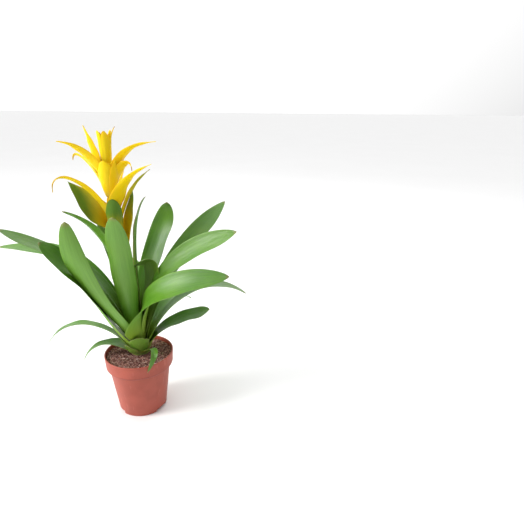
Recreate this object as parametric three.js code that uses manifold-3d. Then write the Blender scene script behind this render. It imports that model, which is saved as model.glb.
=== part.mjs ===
// Potted bromeliad: strap leaves round a flower spike of yellow bracts, in a thin terracotta-coloured pot.
// Millimetres, +Z up. The origin is the middle of the flat face that the pot stands on, and the viewer of
// the front looks along +Y.

import * as THREE from 'three';
import { mergeVertices } from 'three/addons/utils/BufferGeometryUtils.js';
import Module from 'manifold-3d';

const wasm = await Module();
wasm.setup();

const { clamp, degToRad, lerp, smoothstep } = THREE.MathUtils;

// Clearances between neighbouring pieces, and the size of the small steps smoothed out after a cut.
const GAP = 0.3;
const BLADE_GAP = 0.25;
const SMALLEST_STEP = 0.04;

// Pot: a thin moulded wall with a plain band under the rim, and flat drain cuts round its foot.
const POT_HEIGHT = 83;
const RIM_RADIUS = 45;
const BAND_HEIGHT = 17;
const BAND_FOOT_RADIUS = 43.9;
const SHOULDER_HEIGHT = 20.8;
const BODY_TOP_RADIUS = 39.6;
const FOOT_RADIUS = 31.5;
const WALL = 1.8;
const FLOOR = 2.2;
const POT_SIDES = 42;
const DRAIN_CUTS = 3;
const DRAIN_BEARING = 335;
const DRAIN_HEIGHT = 4.5;
const DRAIN_WIDTH = 20;
const DRAIN_REACH = 27.8;

// Soil, by its height against the pot's rim.
const SOIL_TOP = -4.6;
const SOIL_RINGS = [37, 31, 25, 19];

// Stem: a short thick stock in the soil, and the flower scape that leans to the left as it rises.
const STOCK_FOOT = -30;
const STOCK_FOOT_RADIUS = 8.5;
const STOCK_TOP = 9.4;
const STOCK_RADIUS = 12.4;
const SCAPE_RADIUS = 4.5;
const SCAPE_TOP = 232;
const SCAPE_TOP_RADIUS = 3.8;
const ROOT_SHIFT = 7;

// Blades: thickness at the midrib and at the margin.
const MIDRIB = 1.1;
const MARGIN = 0.64;

// Leaves. They stand on rings round the stock, the outer rings lower. Bearings are degrees counted from +X
// towards +Y. rise, crown and tip bend the midrib: [reach from the stem, height above the rim]. sway moves
// the middle and the tip sideways, and roll turns them about the midrib, in millimetres and degrees.
const LEAVES = {
  left_inner: {
    bearing: 215, ring: 0, rise: [22, 84], crown: [4, 168], tip: [71, 199], sway: [0, -6], roll: [0, 30],
    width: 22,
  },
  back: {
    bearing: 70, ring: 0, rise: [18, 98], crown: [-2, 178], tip: [42, 202], roll: [-30, -50], width: 26,
  },
  inner_curled: {
    bearing: 15, ring: 0, rise: [20, 66], crown: [48, 156], tip: [-1, 118], roll: [35, 30], width: 26,
    open: [12, 26], blunt: 0.5,
  },
  back_left: { bearing: 140, ring: 1, rise: [18, 115], crown: [46, 156], tip: [58, 201], sway: [0, 5] },
  right_upright: {
    bearing: 58, ring: 1, rise: [14, 110], crown: [84, 163], tip: [61, 193], sway: [7, -8], roll: [11, 18],
    width: 30,
  },
  left_long: {
    bearing: 190, ring: 2, rise: [17, 115], crown: [79, 136], tip: [146, 176], sway: [0, 4], roll: [0, -20],
  },
  right_long: {
    bearing: 350, ring: 2, rise: [16, 126], crown: [82, 152], tip: [137, 174], roll: [30, 45], width: 29,
  },
  left_arching: {
    bearing: 168, ring: 3, rise: [30, 132], crown: [108, 142], tip: [188, 133], sway: [0, 4],
    roll: [-10, -10],
  },
  right_upper: {
    bearing: 25, ring: 3, rise: [24, 110], crown: [86, 152], tip: [127, 194], roll: [25, 30], width: 29,
  },
  front: {
    bearing: 275, ring: 3, rise: [14, 70], crown: [24, 135], tip: [50, 196], sway: [-4, -5], roll: [2, -4],
    width: 30, waist: 0.92, point: 3.2, blunt: 0.55,
  },
  back_high: {
    bearing: 105, ring: 4, rise: [20, 66], crown: [42, 98], tip: [72, 108], width: 27, steps: 9,
  },
  left_near: {
    bearing: 225, ring: 4, rise: [18, 60], crown: [72, 90], tip: [74, 191], sway: [-2, -2], roll: [-4, 62],
    width: 31, waist: 1.1, point: 3, blunt: 0.5, sheath: 1.6, flare: 0.35,
  },
  right_broad: {
    bearing: 305, ring: 4, rise: [16, 90], crown: [84, 128], tip: [115, 128], sway: [-12, 75],
    roll: [50, 38], width: 33, waist: 1, open: [8, 22], sheath: 1.35, flare: 0.3,
  },
  left_folded: {
    bearing: 207, ring: 5, rise: [48, 74], crown: [64, 128], tip: [100, 166], sway: [0, 4], roll: [10, -70],
    width: 31, waist: 0.85,
  },
  right_low: {
    bearing: 20, ring: 5, rise: [28, 66], crown: [95, 110], tip: [153, 61], sway: [-4, 4], roll: [-10, 10],
  },
  back_low_left: {
    bearing: 125, ring: 5, rise: [24, 60], crown: [66, 92], tip: [105, 50], width: 26, steps: 9,
  },
  back_low: { bearing: 95, ring: 6, rise: [26, 52], crown: [66, 80], tip: [105, 44], width: 26, steps: 9 },
  right_lowest: {
    bearing: 12, ring: 6, rise: [26, 43], crown: [76, 46], tip: [95, 60], sway: [0, -16], roll: [3, 10],
  },
  left_lowest: {
    bearing: 190, ring: 6, rise: [32, 46], crown: [82, 65], tip: [116, 16], sway: [3, -8], roll: [12, 2],
    width: 21,
  },
  front_sheath: {
    bearing: 285, ring: 6, rise: [18, 4], crown: [18, 16], tip: [24, 30], width: 36, waist: 1,
    open: [24, 44], point: 1.2, steps: 6,
  },
  back_low_right: {
    bearing: 50, ring: 7, rise: [26, 50], crown: [60, 75], tip: [95, 45], width: 26, steps: 9,
  },
  left_sheath: {
    bearing: 242, ring: 7, rise: [19, 0], crown: [19, 8], tip: [24, 16], width: 24, waist: 1,
    open: [30, 50], point: 1.2, steps: 5,
  },
  front_small: {
    bearing: 300, ring: 7, rise: [28, 16], crown: [54, 24], tip: [52, -8], sway: [10, -6], width: 9,
    waist: 0.75, point: 1.6,
  },
  left_stub: {
    bearing: 195, ring: 8, rise: [26, 16], crown: [58, 24], tip: [73, -8], width: 13, waist: 0.9,
    point: 1.8, sheath: 2.8, flare: 0.35,
  },
};

// Bracts. They stand on the scape at the height foot, the lower ones outside the higher ones, and are
// measured from the scape.
const BRACTS = {
  top_left: {
    bearing: 192, foot: 238, root: 10, rise: [12, 256], crown: [16, 274], tip: [22, 291], roll: [35, 35],
    width: 18, point: 1.2, wide: 0.2,
  },
  high_back: { bearing: 112, foot: 226, rise: [9, 244], crown: [18, 256], tip: [34, 260], width: 17 },
  high_right: {
    bearing: -16, foot: 224, rise: [10, 250], crown: [24, 272], tip: [65, 275], roll: [-15, -30], width: 20,
    point: 1.1, wide: 0.2,
  },
  high_left: {
    bearing: 210, foot: 222, rise: [12, 250], crown: [28, 272], tip: [52, 275], roll: [25, 40], width: 21,
    point: 1.1, wide: 0.2,
  },
  cup_inner: {
    bearing: 300, foot: 222, rise: [8, 234], crown: [9.5, 242], tip: [9.5, 250], width: 16, point: 3,
    wide: 0.7,
  },
  curl_right: {
    bearing: -15, foot: 214, rise: [11, 248], crown: [32, 260], tip: [31, 241], roll: [-20, -30], width: 17,
    point: 1.2, wide: 0.2,
  },
  curl_left: {
    bearing: 172, foot: 212, rise: [14, 244], crown: [42, 270], tip: [43, 251], roll: [20, 20], width: 20,
    point: 1, wide: 0.2,
  },
  cup_front: {
    bearing: 262, foot: 210, rise: [11, 226], crown: [13, 240], tip: [11, 253], width: 26, point: 2.6,
    wide: 0.6,
  },
  cup_right: {
    bearing: 320, foot: 206, rise: [10, 226], crown: [15, 240], tip: [15, 253], width: 13, point: 2.6,
    wide: 0.5,
  },
  long_back: { bearing: 75, foot: 196, rise: [9, 212], crown: [18, 232], tip: [34, 240], width: 18 },
  long_right: {
    bearing: -48, foot: 184, rise: [10, 212], crown: [34, 240], tip: [91, 256], sway: [0, 6],
    roll: [-5, -25], width: 28, point: 0.8, wide: 0.15,
  },
  long_left: {
    bearing: 212, foot: 180, rise: [18, 226], crown: [66, 255], tip: [64, 220], roll: [12, 12], width: 25,
    point: 1, wide: 0.1,
  },
  mid_back: { bearing: 100, foot: 178, rise: [9, 198], crown: [20, 216], tip: [38, 228], width: 20 },
  mid_right: {
    bearing: 10, foot: 170, rise: [12, 200], crown: [26, 228], tip: [46, 241], roll: [-10, -30], width: 15,
    point: 1.3,
  },
  mid_left: {
    bearing: 196, foot: 158, rise: [12, 186], crown: [30, 206], tip: [48, 229], roll: [-50, -50], width: 33,
    channel: 40, point: 1.6, wide: 0.4,
  },
  low_back: { bearing: 120, foot: 148, rise: [9, 172], crown: [20, 192], tip: [34, 205], width: 20 },
  low_front: {
    bearing: 279, foot: 138, rise: [8, 165], crown: [15, 190], tip: [14, 209], width: 21, point: 2.6,
    wide: 0.6, blunt: 0.6,
  },
  low_right: {
    bearing: 10, foot: 118, rise: [10, 150], crown: [15, 190], tip: [21, 215], roll: [25, 35], width: 20,
    point: 2, wide: 0.5,
  },
};

const LEAF_HABIT = {
  sway: [0, 0], roll: [0, 0], width: 28, waist: 0.8, open: [12, 36], channel: 30, point: 2.6, wide: 0.58,
  blunt: 0.7, sheath: 1.15, flare: 0.11, wrap: 42, steps: 12, strips: 4,
};
const BRACT_HABIT = {
  sway: [0, 0], roll: [0, 0], width: 24, waist: 0.95, open: [9, 26], channel: 35, point: 1.5, wide: 0.3,
  blunt: 1, sheath: 1, flare: 0.11, wrap: 85, steps: 9, strips: 4, root: 5.6,
};

// A geometry as a closed body for joins and cuts.
function solid(geometry) {
  geometry.deleteAttribute('normal');
  geometry.deleteAttribute('uv');
  const merged = mergeVertices(geometry);
  const index = merged.index.array;
  const triVerts = [];
  for (let i = 0; i < index.length; i += 3) {
    const [a, b, c] = index.subarray(i, i + 3);
    if (a !== b && b !== c && c !== a) triVerts.push(a, b, c);
  }
  return new wasm.Manifold(new wasm.Mesh({
    numProp: 3,
    vertProperties: merged.attributes.position.array,
    triVerts: new Uint32Array(triVerts),
  }));
}

function geometryOf(body) {
  const mesh = body.getMesh();
  const geometry = new THREE.BufferGeometry();
  geometry.setAttribute('position', new THREE.BufferAttribute(mesh.vertProperties, 3));
  geometry.setIndex(new THREE.BufferAttribute(mesh.triVerts, 1));
  geometry.computeVertexNormals();
  return geometry;
}

// The pieces of a body that stay joined to its largest one.
function mainPiece(body) {
  const pieces = body.decompose();
  return pieces.reduce((best, piece) => (piece.volume() > best.volume() ? piece : best));
}

function turned(profile, sides) {
  const points = profile.map(([radius, height]) => new THREE.Vector2(radius, height));
  return new THREE.LatheGeometry(points, sides).rotateX(Math.PI / 2);
}

// Where the stem's axis is at a height above the rim.
function stemAxis(height) {
  const up = Math.max(height, 0);
  const lean = -0.125 * up * (1 - up / 568);
  const shift = ROOT_SHIFT * (1 - smoothstep(height, -5, 55));
  return new THREE.Vector3(lean, shift, 0);
}

// The midrib's reach and height at t, from 0 at its foot to 1 at its tip.
function centreline(blade, t) {
  const s = 1 - t;
  const weights = [s ** 3, 3 * s * s * t, 3 * s * t * t, t ** 3];
  const knots = [blade.foot, blade.rise, blade.crown, blade.tip];
  return [0, 1].map((way) => knots.reduce((sum, knot, i) => sum + knot[way] * weights[i], 0));
}

function midrib(blade, t) {
  const [reach, height] = centreline(blade, t);
  const sway = blade.sway[0] * 4 * t * (1 - t) + blade.sway[1] * t * t;
  const turn = degToRad(blade.bearing);
  return new THREE.Vector3(
    blade.lean + reach * Math.cos(turn) - sway * Math.sin(turn),
    stemAxis(height).y + reach * Math.sin(turn) + sway * Math.cos(turn),
    height,
  );
}

function halfWidth(blade, t) {
  const along = clamp(t, 0, 1);
  const waist = lerp(blade.waist, 1, smoothstep(along, 0.15, 0.55));
  const sheath = (blade.sheath - blade.waist) * Math.exp(-((along / blade.flare) ** 2));
  const past = clamp((along - blade.wide) / (1 - blade.wide), 0, 1);
  const taper = (1 - past ** blade.point) ** blade.blunt;
  return 0.5 * blade.width * (waist + sheath) * taper;
}

// The blade's cross-section at t: its middle, the directions across and up, half its width along the arc
// and half the angle of that arc. The foot wraps the stem and opens out into a shallow channel.
function section(blade, t) {
  const step = 0.004;
  const along = midrib(blade, t + step).sub(midrib(blade, t - step)).normalize();
  const turn = degToRad(blade.bearing);
  const side = new THREE.Vector3(-Math.sin(turn), Math.cos(turn), 0);
  const up = new THREE.Vector3().crossVectors(along, side).normalize();
  const across = new THREE.Vector3().crossVectors(up, along);
  const within = clamp(t, 0, 1);
  const roll = degToRad(blade.roll[0] * 4 * within * (1 - within) + blade.roll[1] * within ** 1.5);
  up.applyAxisAngle(along, -roll);
  across.applyAxisAngle(along, -roll);

  const reach = Math.max(centreline(blade, within)[0], blade.foot[0]);
  const opened = smoothstep(reach, ...blade.open);
  const wrapped = Math.min(halfWidth(blade, within), degToRad(blade.wrap) * reach);
  const half = Math.max(lerp(wrapped, halfWidth(blade, within), opened), 0.5);
  const channel = degToRad(blade.channel) * (1 - 0.6 * smoothstep(within, 0.6, 1));
  const bend = lerp(half / reach, channel, opened);
  return { middle: midrib(blade, t), across, up, half, bend };
}

// A point u across the blade, from -1 to 1, raised by lift from its middle surface.
function onBlade({ middle, across, up, half, bend }, u, lift) {
  const angle = u * bend;
  const radius = half / bend;
  return middle.clone()
    .addScaledVector(across, radius * Math.sin(angle) - lift * Math.sin(angle))
    .addScaledVector(up, radius * (1 - Math.cos(angle)) + lift * Math.cos(angle));
}

// A closed blade: the same grid of triangles above and below, joined round the margin.
function bladeGeometry(blade, grow = 0) {
  const grid = new THREE.PlaneGeometry(2, 1, blade.strips, blade.steps);
  const spots = grid.attributes.position;
  const length = midrib(blade, 0).distanceTo(midrib(blade, 1));
  const upper = [];
  const lower = [];
  for (let i = 0; i < spots.count; i++) {
    const t = 0.5 - spots.getY(i);
    const cut = section(blade, lerp(-grow / length, 1 + grow / length, t));
    const u = spots.getX(i) * (1 + grow / cut.half);
    const thick = lerp(MARGIN, MIDRIB, (1 - spots.getX(i) ** 2) * (1 - 0.6 * t)) / 2 + grow;
    upper.push(...onBlade(cut, u, thick));
    lower.push(...onBlade(cut, u, -thick));
  }

  const faces = [];
  const count = spots.count;
  const index = grid.index.array;
  for (let i = 0; i < index.length; i += 3) {
    const [a, b, c] = index.subarray(i, i + 3);
    faces.push(a, b, c, count + c, count + b, count + a);
  }
  const row = blade.strips + 1;
  const margin = [];
  for (let i = 0; i < blade.steps; i++) margin.push(i * row);
  for (let i = 0; i < blade.strips; i++) margin.push(blade.steps * row + i);
  for (let i = blade.steps; i > 0; i--) margin.push(i * row + blade.strips);
  for (let i = blade.strips; i > 0; i--) margin.push(i);
  margin.forEach((p, i) => {
    const q = margin[(i + 1) % margin.length];
    faces.push(q, p, count + p, q, count + p, count + q);
  });

  const geometry = new THREE.BufferGeometry();
  geometry.setAttribute('position', new THREE.Float32BufferAttribute([...upper, ...lower], 3));
  geometry.setIndex(faces);
  return geometry;
}

function leafBlade(spec) {
  const foot = [5.9 + 1.1 * spec.ring, 10 - 1.5 * spec.ring];
  return { ...LEAF_HABIT, ...spec, foot, lean: 0 };
}

function bractBlade(spec) {
  const blade = { ...BRACT_HABIT, ...spec };
  return { ...blade, foot: [blade.root, spec.foot], lean: stemAxis(spec.foot).x };
}

// The pot's outline from the middle of its foot up to the rim and down inside to the middle of its floor.
function potProfile() {
  const shoulder = POT_HEIGHT - SHOULDER_HEIGHT;
  const band = POT_HEIGHT - BAND_HEIGHT;
  return [
    [0, 0],
    [FOOT_RADIUS - 1, 0],
    [FOOT_RADIUS, 1],
    [BODY_TOP_RADIUS, shoulder],
    [BAND_FOOT_RADIUS - 0.6, band - 0.8],
    [BAND_FOOT_RADIUS, band],
    [RIM_RADIUS, POT_HEIGHT - 0.6],
    [RIM_RADIUS - 0.6, POT_HEIGHT],
    [RIM_RADIUS - WALL + 0.5, POT_HEIGHT],
    ...potInside(),
  ];
}

function potInside() {
  return [
    [RIM_RADIUS - WALL, POT_HEIGHT - 0.5],
    [BAND_FOOT_RADIUS - WALL, POT_HEIGHT - BAND_HEIGHT + 0.4],
    [BODY_TOP_RADIUS - WALL, POT_HEIGHT - SHOULDER_HEIGHT - 0.7],
    [FOOT_RADIUS - WALL + 0.8, 8],
    [23, FLOOR],
    [0, FLOOR],
  ];
}

function pot() {
  let body = solid(turned(potProfile(), POT_SIDES));
  const depth = 20;
  for (let i = 0; i < DRAIN_CUTS; i++) {
    const cut = new THREE.BoxGeometry(depth, DRAIN_WIDTH, DRAIN_HEIGHT * 2);
    cut.translate(DRAIN_REACH + depth / 2, 0, 0);
    cut.rotateZ(degToRad(DRAIN_BEARING + (360 / DRAIN_CUTS) * i));
    body = body.subtract(solid(cut));
  }
  return geometryOf(body);
}

// How far the soil's surface stands above its mean at a point: lumps that fade out round the stem.
function lumps(x, y) {
  const coarse = 0.6 * Math.sin(0.36 * x + 1) * Math.sin(0.31 * y + 2);
  const fine = 0.4 * Math.sin(0.83 * x - 0.61 * y);
  return (coarse + fine) * smoothstep(Math.hypot(x, y - ROOT_SHIFT), 17, 26);
}

// The soil fills the pot, a gap inside it, and the stock stands in its plain hole.
function soil() {
  const wall = potInside().reverse();
  const [rim, step] = [wall[5], wall[4]];
  const share = (SOIL_TOP - (step[1] - POT_HEIGHT)) / (rim[1] - step[1]);
  const edge = lerp(step[0], rim[0], share) - GAP - 0.05;
  const profile = wall.slice(0, 5).map(([radius, height]) => [
    Math.max(radius - GAP - 0.05, 0),
    height - POT_HEIGHT + (height < 10 ? GAP : 0),
  ]);
  profile.push([edge, SOIL_TOP]);
  SOIL_RINGS.forEach((radius) => profile.push([radius, SOIL_TOP]));
  profile.push([0, SOIL_TOP]);

  const block = turned(profile, POT_SIDES);
  const spots = block.attributes.position;
  for (let i = 0; i < spots.count; i++) {
    const [x, y, z] = [spots.getX(i), spots.getY(i), spots.getZ(i)];
    const inside = Math.hypot(x, y) < edge - 1;
    if (inside && z > SOIL_TOP - 1) spots.setZ(i, z + lumps(x, y));
  }
  const hole = turned([
    [0, STOCK_FOOT - GAP],
    [STOCK_FOOT_RADIUS + GAP, STOCK_FOOT - GAP],
    [STOCK_RADIUS + GAP, -6],
    [STOCK_RADIUS + GAP, 2],
    [0, 2],
  ], 24);
  hole.translate(0, ROOT_SHIFT, 0);
  return geometryOf(solid(block).subtract(solid(hole)));
}

function stemBody(grow = 0) {
  const profile = [
    [0, STOCK_FOOT],
    [STOCK_FOOT_RADIUS, STOCK_FOOT],
    [STOCK_RADIUS, -6],
    [STOCK_RADIUS, -4.2],
    [STOCK_RADIUS - 4, 3],
    [5, STOCK_TOP],
    [SCAPE_RADIUS, 14],
  ];
  const joints = 12;
  for (let i = 1; i <= joints; i++) {
    const share = i / joints;
    profile.push([lerp(SCAPE_RADIUS, SCAPE_TOP_RADIUS, share), lerp(14, SCAPE_TOP, share)]);
  }
  profile.push([0, SCAPE_TOP]);
  const shape = turned(profile.map(([radius, height]) => [radius && radius + grow, height]), 16);
  const spots = shape.attributes.position;
  for (let i = 0; i < spots.count; i++) {
    const axis = stemAxis(spots.getZ(i));
    spots.setXYZ(i, spots.getX(i) + axis.x, spots.getY(i) + axis.y, spots.getZ(i));
  }
  return solid(shape);
}

// The erect inner bracts stand in two rings round a core of closed buds, all grown together at the foot.
function flowerHead(grow = 0) {
  const foot = SCAPE_TOP + GAP;
  const lean = stemAxis(250).x;
  const core = turned([
    [0, foot],
    [4 + grow, foot],
    [5.4 + grow, 240],
    [4.6 + grow, 262],
    [5.4, 276],
    [3.4, 281],
    [0, 282],
  ], 10);
  let body = solid(core.translate(lean, 0, 0));
  const rings = [
    { count: 5, bearing: 20, bow: 4.6, mouth: 6.2, top: 283, width: 7.5 },
    { count: 6, bearing: 50, bow: 6.1, mouth: 8.4, top: 285, width: 9 },
  ];
  for (const ring of rings) {
    for (let i = 0; i < ring.count; i++) {
      const blade = {
        ...BRACT_HABIT,
        bearing: ring.bearing + (360 / ring.count) * i,
        foot: [4.4, 236],
        rise: [ring.bow, 250],
        crown: [ring.bow, 266],
        tip: [ring.mouth, ring.top + 0.8 * Math.cos(2.3 * i)],
        width: ring.width,
        point: 3,
        wide: 0.7,
        blunt: 0.5,
        steps: 4,
        strips: 2,
        lean,
      };
      body = body.add(solid(bladeGeometry(blade, grow)));
    }
  }
  const tongue = {
    ...BRACT_HABIT,
    bearing: 345, foot: [5, 262], rise: [7.5, 274], crown: [9, 284], tip: [15, 290], width: 3, waist: 1,
    steps: 4, strips: 2, lean,
  };
  return mainPiece(body.add(solid(bladeGeometry(tongue, grow)))).simplify(SMALLEST_STEP);
}

function material(color, roughness) {
  return new THREE.MeshStandardMaterial({ color, roughness, metalness: 0 });
}

function named(name, geometry, finish) {
  const mesh = new THREE.Mesh(geometry, finish);
  mesh.name = name;
  return mesh;
}

const finishes = {
  pot: material(0xbd6152, 0.55),
  soil: material(0x4f332c, 0.95),
  stem: material(0x8fae4a, 0.6),
  leaf: material(0x4f8a35, 0.45),
  bract: material(0xf0c814, 0.5),
};

const part = new THREE.Group();
part.name = 'potted_guzmania';
part.add(named('pot', pot(), finishes.pot));

// The plant's heights count from the pot's rim.
const plant = new THREE.Group();
plant.name = 'plant';
plant.position.z = POT_HEIGHT;
part.add(plant);
plant.add(named('soil', soil(), finishes.soil));
plant.add(named('stem', geometryOf(stemBody()), finishes.stem));
plant.add(named('flower_head', geometryOf(flowerHead()), finishes.bract));

// Each blade gives way to the pieces placed before it, which stand inside it, where their margins meet.
const taken = [stemBody(BLADE_GAP), flowerHead(BLADE_GAP)];

function clearedBlade(blade) {
  const whole = solid(bladeGeometry(blade));
  const body = taken.reduce((rest, other) => rest.subtract(other), whole);
  taken.push(solid(bladeGeometry(blade, BLADE_GAP)));
  return geometryOf(mainPiece(body).simplify(SMALLEST_STEP));
}

for (const [name, spec] of Object.entries(BRACTS)) {
  plant.add(named(`bract_${name}`, clearedBlade(bractBlade(spec)), finishes.bract));
}
for (const [name, spec] of Object.entries(LEAVES)) {
  plant.add(named(`leaf_${name}`, clearedBlade(leafBlade(spec)), finishes.leaf));
}

export default part;
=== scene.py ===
import math

import bmesh
import bpy
from mathutils import Matrix, Vector, noise


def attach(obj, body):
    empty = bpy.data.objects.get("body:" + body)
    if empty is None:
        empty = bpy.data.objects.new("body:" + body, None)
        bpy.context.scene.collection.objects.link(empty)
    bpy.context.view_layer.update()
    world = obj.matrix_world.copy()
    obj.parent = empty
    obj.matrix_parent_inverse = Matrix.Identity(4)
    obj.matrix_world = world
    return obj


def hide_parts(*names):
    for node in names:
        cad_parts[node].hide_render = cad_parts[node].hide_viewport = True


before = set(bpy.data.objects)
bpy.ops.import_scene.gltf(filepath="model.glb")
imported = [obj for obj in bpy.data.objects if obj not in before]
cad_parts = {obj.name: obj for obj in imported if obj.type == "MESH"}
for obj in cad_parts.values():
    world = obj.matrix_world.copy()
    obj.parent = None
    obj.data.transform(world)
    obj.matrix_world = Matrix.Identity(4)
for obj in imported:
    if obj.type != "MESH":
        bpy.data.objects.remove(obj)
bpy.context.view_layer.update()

# Pot
# A thin injection-moulded plastic pot in terracotta colour, with a plain band under its rim. Three flat
# drain cuts in the foot let water out. The plastic is satin, with a faint mottle and light scuffs.

POT_HEIGHT = 83
RIM_RADIUS = 45
BAND_HEIGHT = 17
BAND_FOOT_RADIUS = 43.9
SHOULDER_HEIGHT = 20.8
BODY_TOP_RADIUS = 39.6
FOOT_RADIUS = 31.5
POT_WALL = 1.8
POT_FLOOR = 2.2
POT_SIDES = 144
DRAIN_CUTS = 3
DRAIN_BEARING = 335
DRAIN_HEIGHT = 4.5
DRAIN_WIDTH = 20
DRAIN_REACH = 27.8
DRAIN_DEPTH = 20
LIP_STEPS = 8
SHARP_ANGLE = 32

TERRACOTTA_DEEP = (0.355, 0.066, 0.039)
TERRACOTTA = (0.425, 0.086, 0.053)
SCUFF_PALE = (0.66, 0.24, 0.18)
BAND_PAINTED_SHADOW = (0.25, 0.045, 0.03)

MILLIMETRE = 0.001


class Wire:
    """An output socket in a node tree. Python's operators on it add Math and Vector Math nodes."""

    def __init__(self, tree, socket=None):
        self.tree = tree
        self.socket = socket

    def node(self, kind, settings=None, inputs=None, output=0):
        """A new node: its settings are set first, then the values or links of its inputs."""
        made = self.tree.nodes.new(kind)
        for name, value in (settings or {}).items():
            if name == "stops":
                while len(made.color_ramp.elements) < len(value):
                    made.color_ramp.elements.new(1)
                for element, (place, color) in zip(made.color_ramp.elements, value):
                    element.position = place
                    element.color = (*color, 1)
            else:
                setattr(made, name, value)
        for name, value in (inputs or {}).items():
            socket = made.inputs[name]
            if isinstance(value, Wire):
                self.tree.links.new(value.socket, socket)
            else:
                socket.default_value = value
        return Wire(self.tree, None if output is None else made.outputs[output])

    def maths(self, operation, *others):
        """A Math node with this as its first value."""
        return self.node("ShaderNodeMath", {"operation": operation}, dict(enumerate((self, *others))))

    def vector_maths(self, operation, *others):
        """A Vector Math node with this as its first value."""
        values = dict(enumerate((self, *others)))
        output = 1 if operation in ("LENGTH", "DOT_PRODUCT") else 0
        return self.node("ShaderNodeVectorMath", {"operation": operation}, values, output)

    def is_vector(self):
        return self.socket.type in ("VECTOR", "RGBA")

    def combined(self, operation, first, second):
        """Two values added or subtracted, as vectors where either is one."""
        vectors = any(isinstance(value, Wire) and value.is_vector() for value in (first, second))
        kind = "ShaderNodeVectorMath" if vectors else "ShaderNodeMath"
        return self.node(kind, {"operation": operation}, {0: first, 1: second})

    def __add__(self, other):
        return self.combined("ADD", self, other)

    def __radd__(self, other):
        return self.combined("ADD", other, self)

    def __sub__(self, other):
        return self.combined("SUBTRACT", self, other)

    def __rsub__(self, other):
        return self.combined("SUBTRACT", other, self)

    def __mul__(self, other):
        if self.is_vector():
            return self.node("ShaderNodeVectorMath", {"operation": "SCALE"}, {0: self, "Scale": other})
        return self.maths("MULTIPLY", other)

    __rmul__ = __mul__

    def __truediv__(self, other):
        return self.maths("DIVIDE", other)

    def __pow__(self, other):
        return self.maths("POWER", other)

    def smooth(self, start, end, low=0.0, high=1.0):
        """Eases from low at start to high at end."""
        settings = {"interpolation_type": "SMOOTHSTEP"}
        inputs = {"Value": self, "From Min": start, "From Max": end, "To Min": low, "To Max": high}
        return self.node("ShaderNodeMapRange", settings, inputs)

    def mix(self, first, second):
        """The first colour where this is 0 and the second where it is 1."""
        inputs = {"Factor": self, 6: as_color(first), 7: as_color(second)}
        return self.node("ShaderNodeMix", {"data_type": "RGBA"}, inputs, 2)

    def part(self, axis):
        """One of a vector's parts: 0, 1 or 2."""
        return self.node("ShaderNodeSeparateXYZ", None, {"Vector": self}, axis)


def as_color(value):
    return value if isinstance(value, Wire) else (*value, 1)


def noise_value(pattern, scale, detail=2.0, roughness=0.5):
    inputs = {"Vector": pattern, "Scale": scale, "Detail": detail, "Roughness": roughness}
    return pattern.node("ShaderNodeTexNoise", None, inputs)


def new_finish(name):
    """A new empty material, and a wire to build its nodes from."""
    material = bpy.data.materials.new(name)
    material.use_nodes = True
    material.node_tree.nodes.clear()
    return material, Wire(material.node_tree)


def close_finish(wire, varying, height=None, depth=0.0, constants=None):
    """Ends a material: its varying and constant sockets, and a bump of that depth in millimetres."""
    inputs = {**(constants or {}), **varying}
    if height is not None:
        bump = {"Height": height, "Distance": depth * MILLIMETRE, "Strength": 1.0}
        inputs["Normal"] = wire.node("ShaderNodeBump", None, bump)
    shader = wire.node("ShaderNodeBsdfPrincipled", None, inputs)
    wire.node("ShaderNodeOutputMaterial", None, {"Surface": shader}, None)


def new_piece(name, mesh, material, node):
    """A finished piece of the plant: shown in place of its solid and riding on the one body."""
    piece = bpy.data.objects.new(name, mesh)
    bpy.context.scene.collection.objects.link(piece)
    mesh.materials.clear()
    mesh.materials.append(material)
    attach(piece, "root")
    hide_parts(node)
    return piece


def turned_mesh(name, profile, sides):
    """A closed turned body from a profile of radii and heights, in millimetres, that ends on the axis."""
    body = bmesh.new()
    rings = []
    for radius, height in profile:
        if radius == 0:
            rings.append([body.verts.new((0, 0, height * MILLIMETRE))])
            continue
        angles = [2 * math.pi * side / sides for side in range(sides)]
        rings.append([
            body.verts.new(Vector((radius * math.cos(a), radius * math.sin(a), height)) * MILLIMETRE)
            for a in angles
        ])
    for lower, upper in zip(rings, rings[1:]):
        for side in range(sides):
            after = (side + 1) % sides
            corners = [lower[side % len(lower)], lower[after % len(lower)],
                       upper[after % len(upper)], upper[side % len(upper)]]
            body.faces.new(list(dict.fromkeys(corners)))
    bmesh.ops.recalc_face_normals(body, faces=body.faces)
    mesh = bpy.data.meshes.new(name)
    body.to_mesh(mesh)
    body.free()
    return mesh


def pot_wall_profile():
    """Radii and heights from the middle of the foot, up over the rim and down inside to the floor."""
    shoulder = POT_HEIGHT - SHOULDER_HEIGHT
    band = POT_HEIGHT - BAND_HEIGHT
    lip = RIM_RADIUS - POT_WALL / 2
    outside = [
        (0, 0.6), (24, 0.6), (26, 0), (FOOT_RADIUS - 1.4, 0), (FOOT_RADIUS - 0.4, 0.4), (FOOT_RADIUS, 1.4),
        (BODY_TOP_RADIUS - 0.1, shoulder - 1), (BODY_TOP_RADIUS + 0.5, shoulder + 0.6),
        (BAND_FOOT_RADIUS - 1.1, band - 0.9), (BAND_FOOT_RADIUS - 0.2, band - 0.3),
        (BAND_FOOT_RADIUS, band + 0.5), (RIM_RADIUS - 0.1, POT_HEIGHT - 1.6),
    ]
    rim = [
        (lip + POT_WALL / 2 * math.cos(turn), POT_HEIGHT - 0.9 + 0.9 * math.sin(turn))
        for turn in (math.pi * step / LIP_STEPS for step in range(1, LIP_STEPS))
    ]
    inside = [
        (RIM_RADIUS - POT_WALL, POT_HEIGHT - 1.4), (BAND_FOOT_RADIUS - POT_WALL, band + 0.4),
        (BODY_TOP_RADIUS - POT_WALL, shoulder - 0.7), (FOOT_RADIUS - POT_WALL + 0.8, 8), (23, POT_FLOOR),
        (0, POT_FLOOR),
    ]
    return outside + rim + inside


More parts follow.
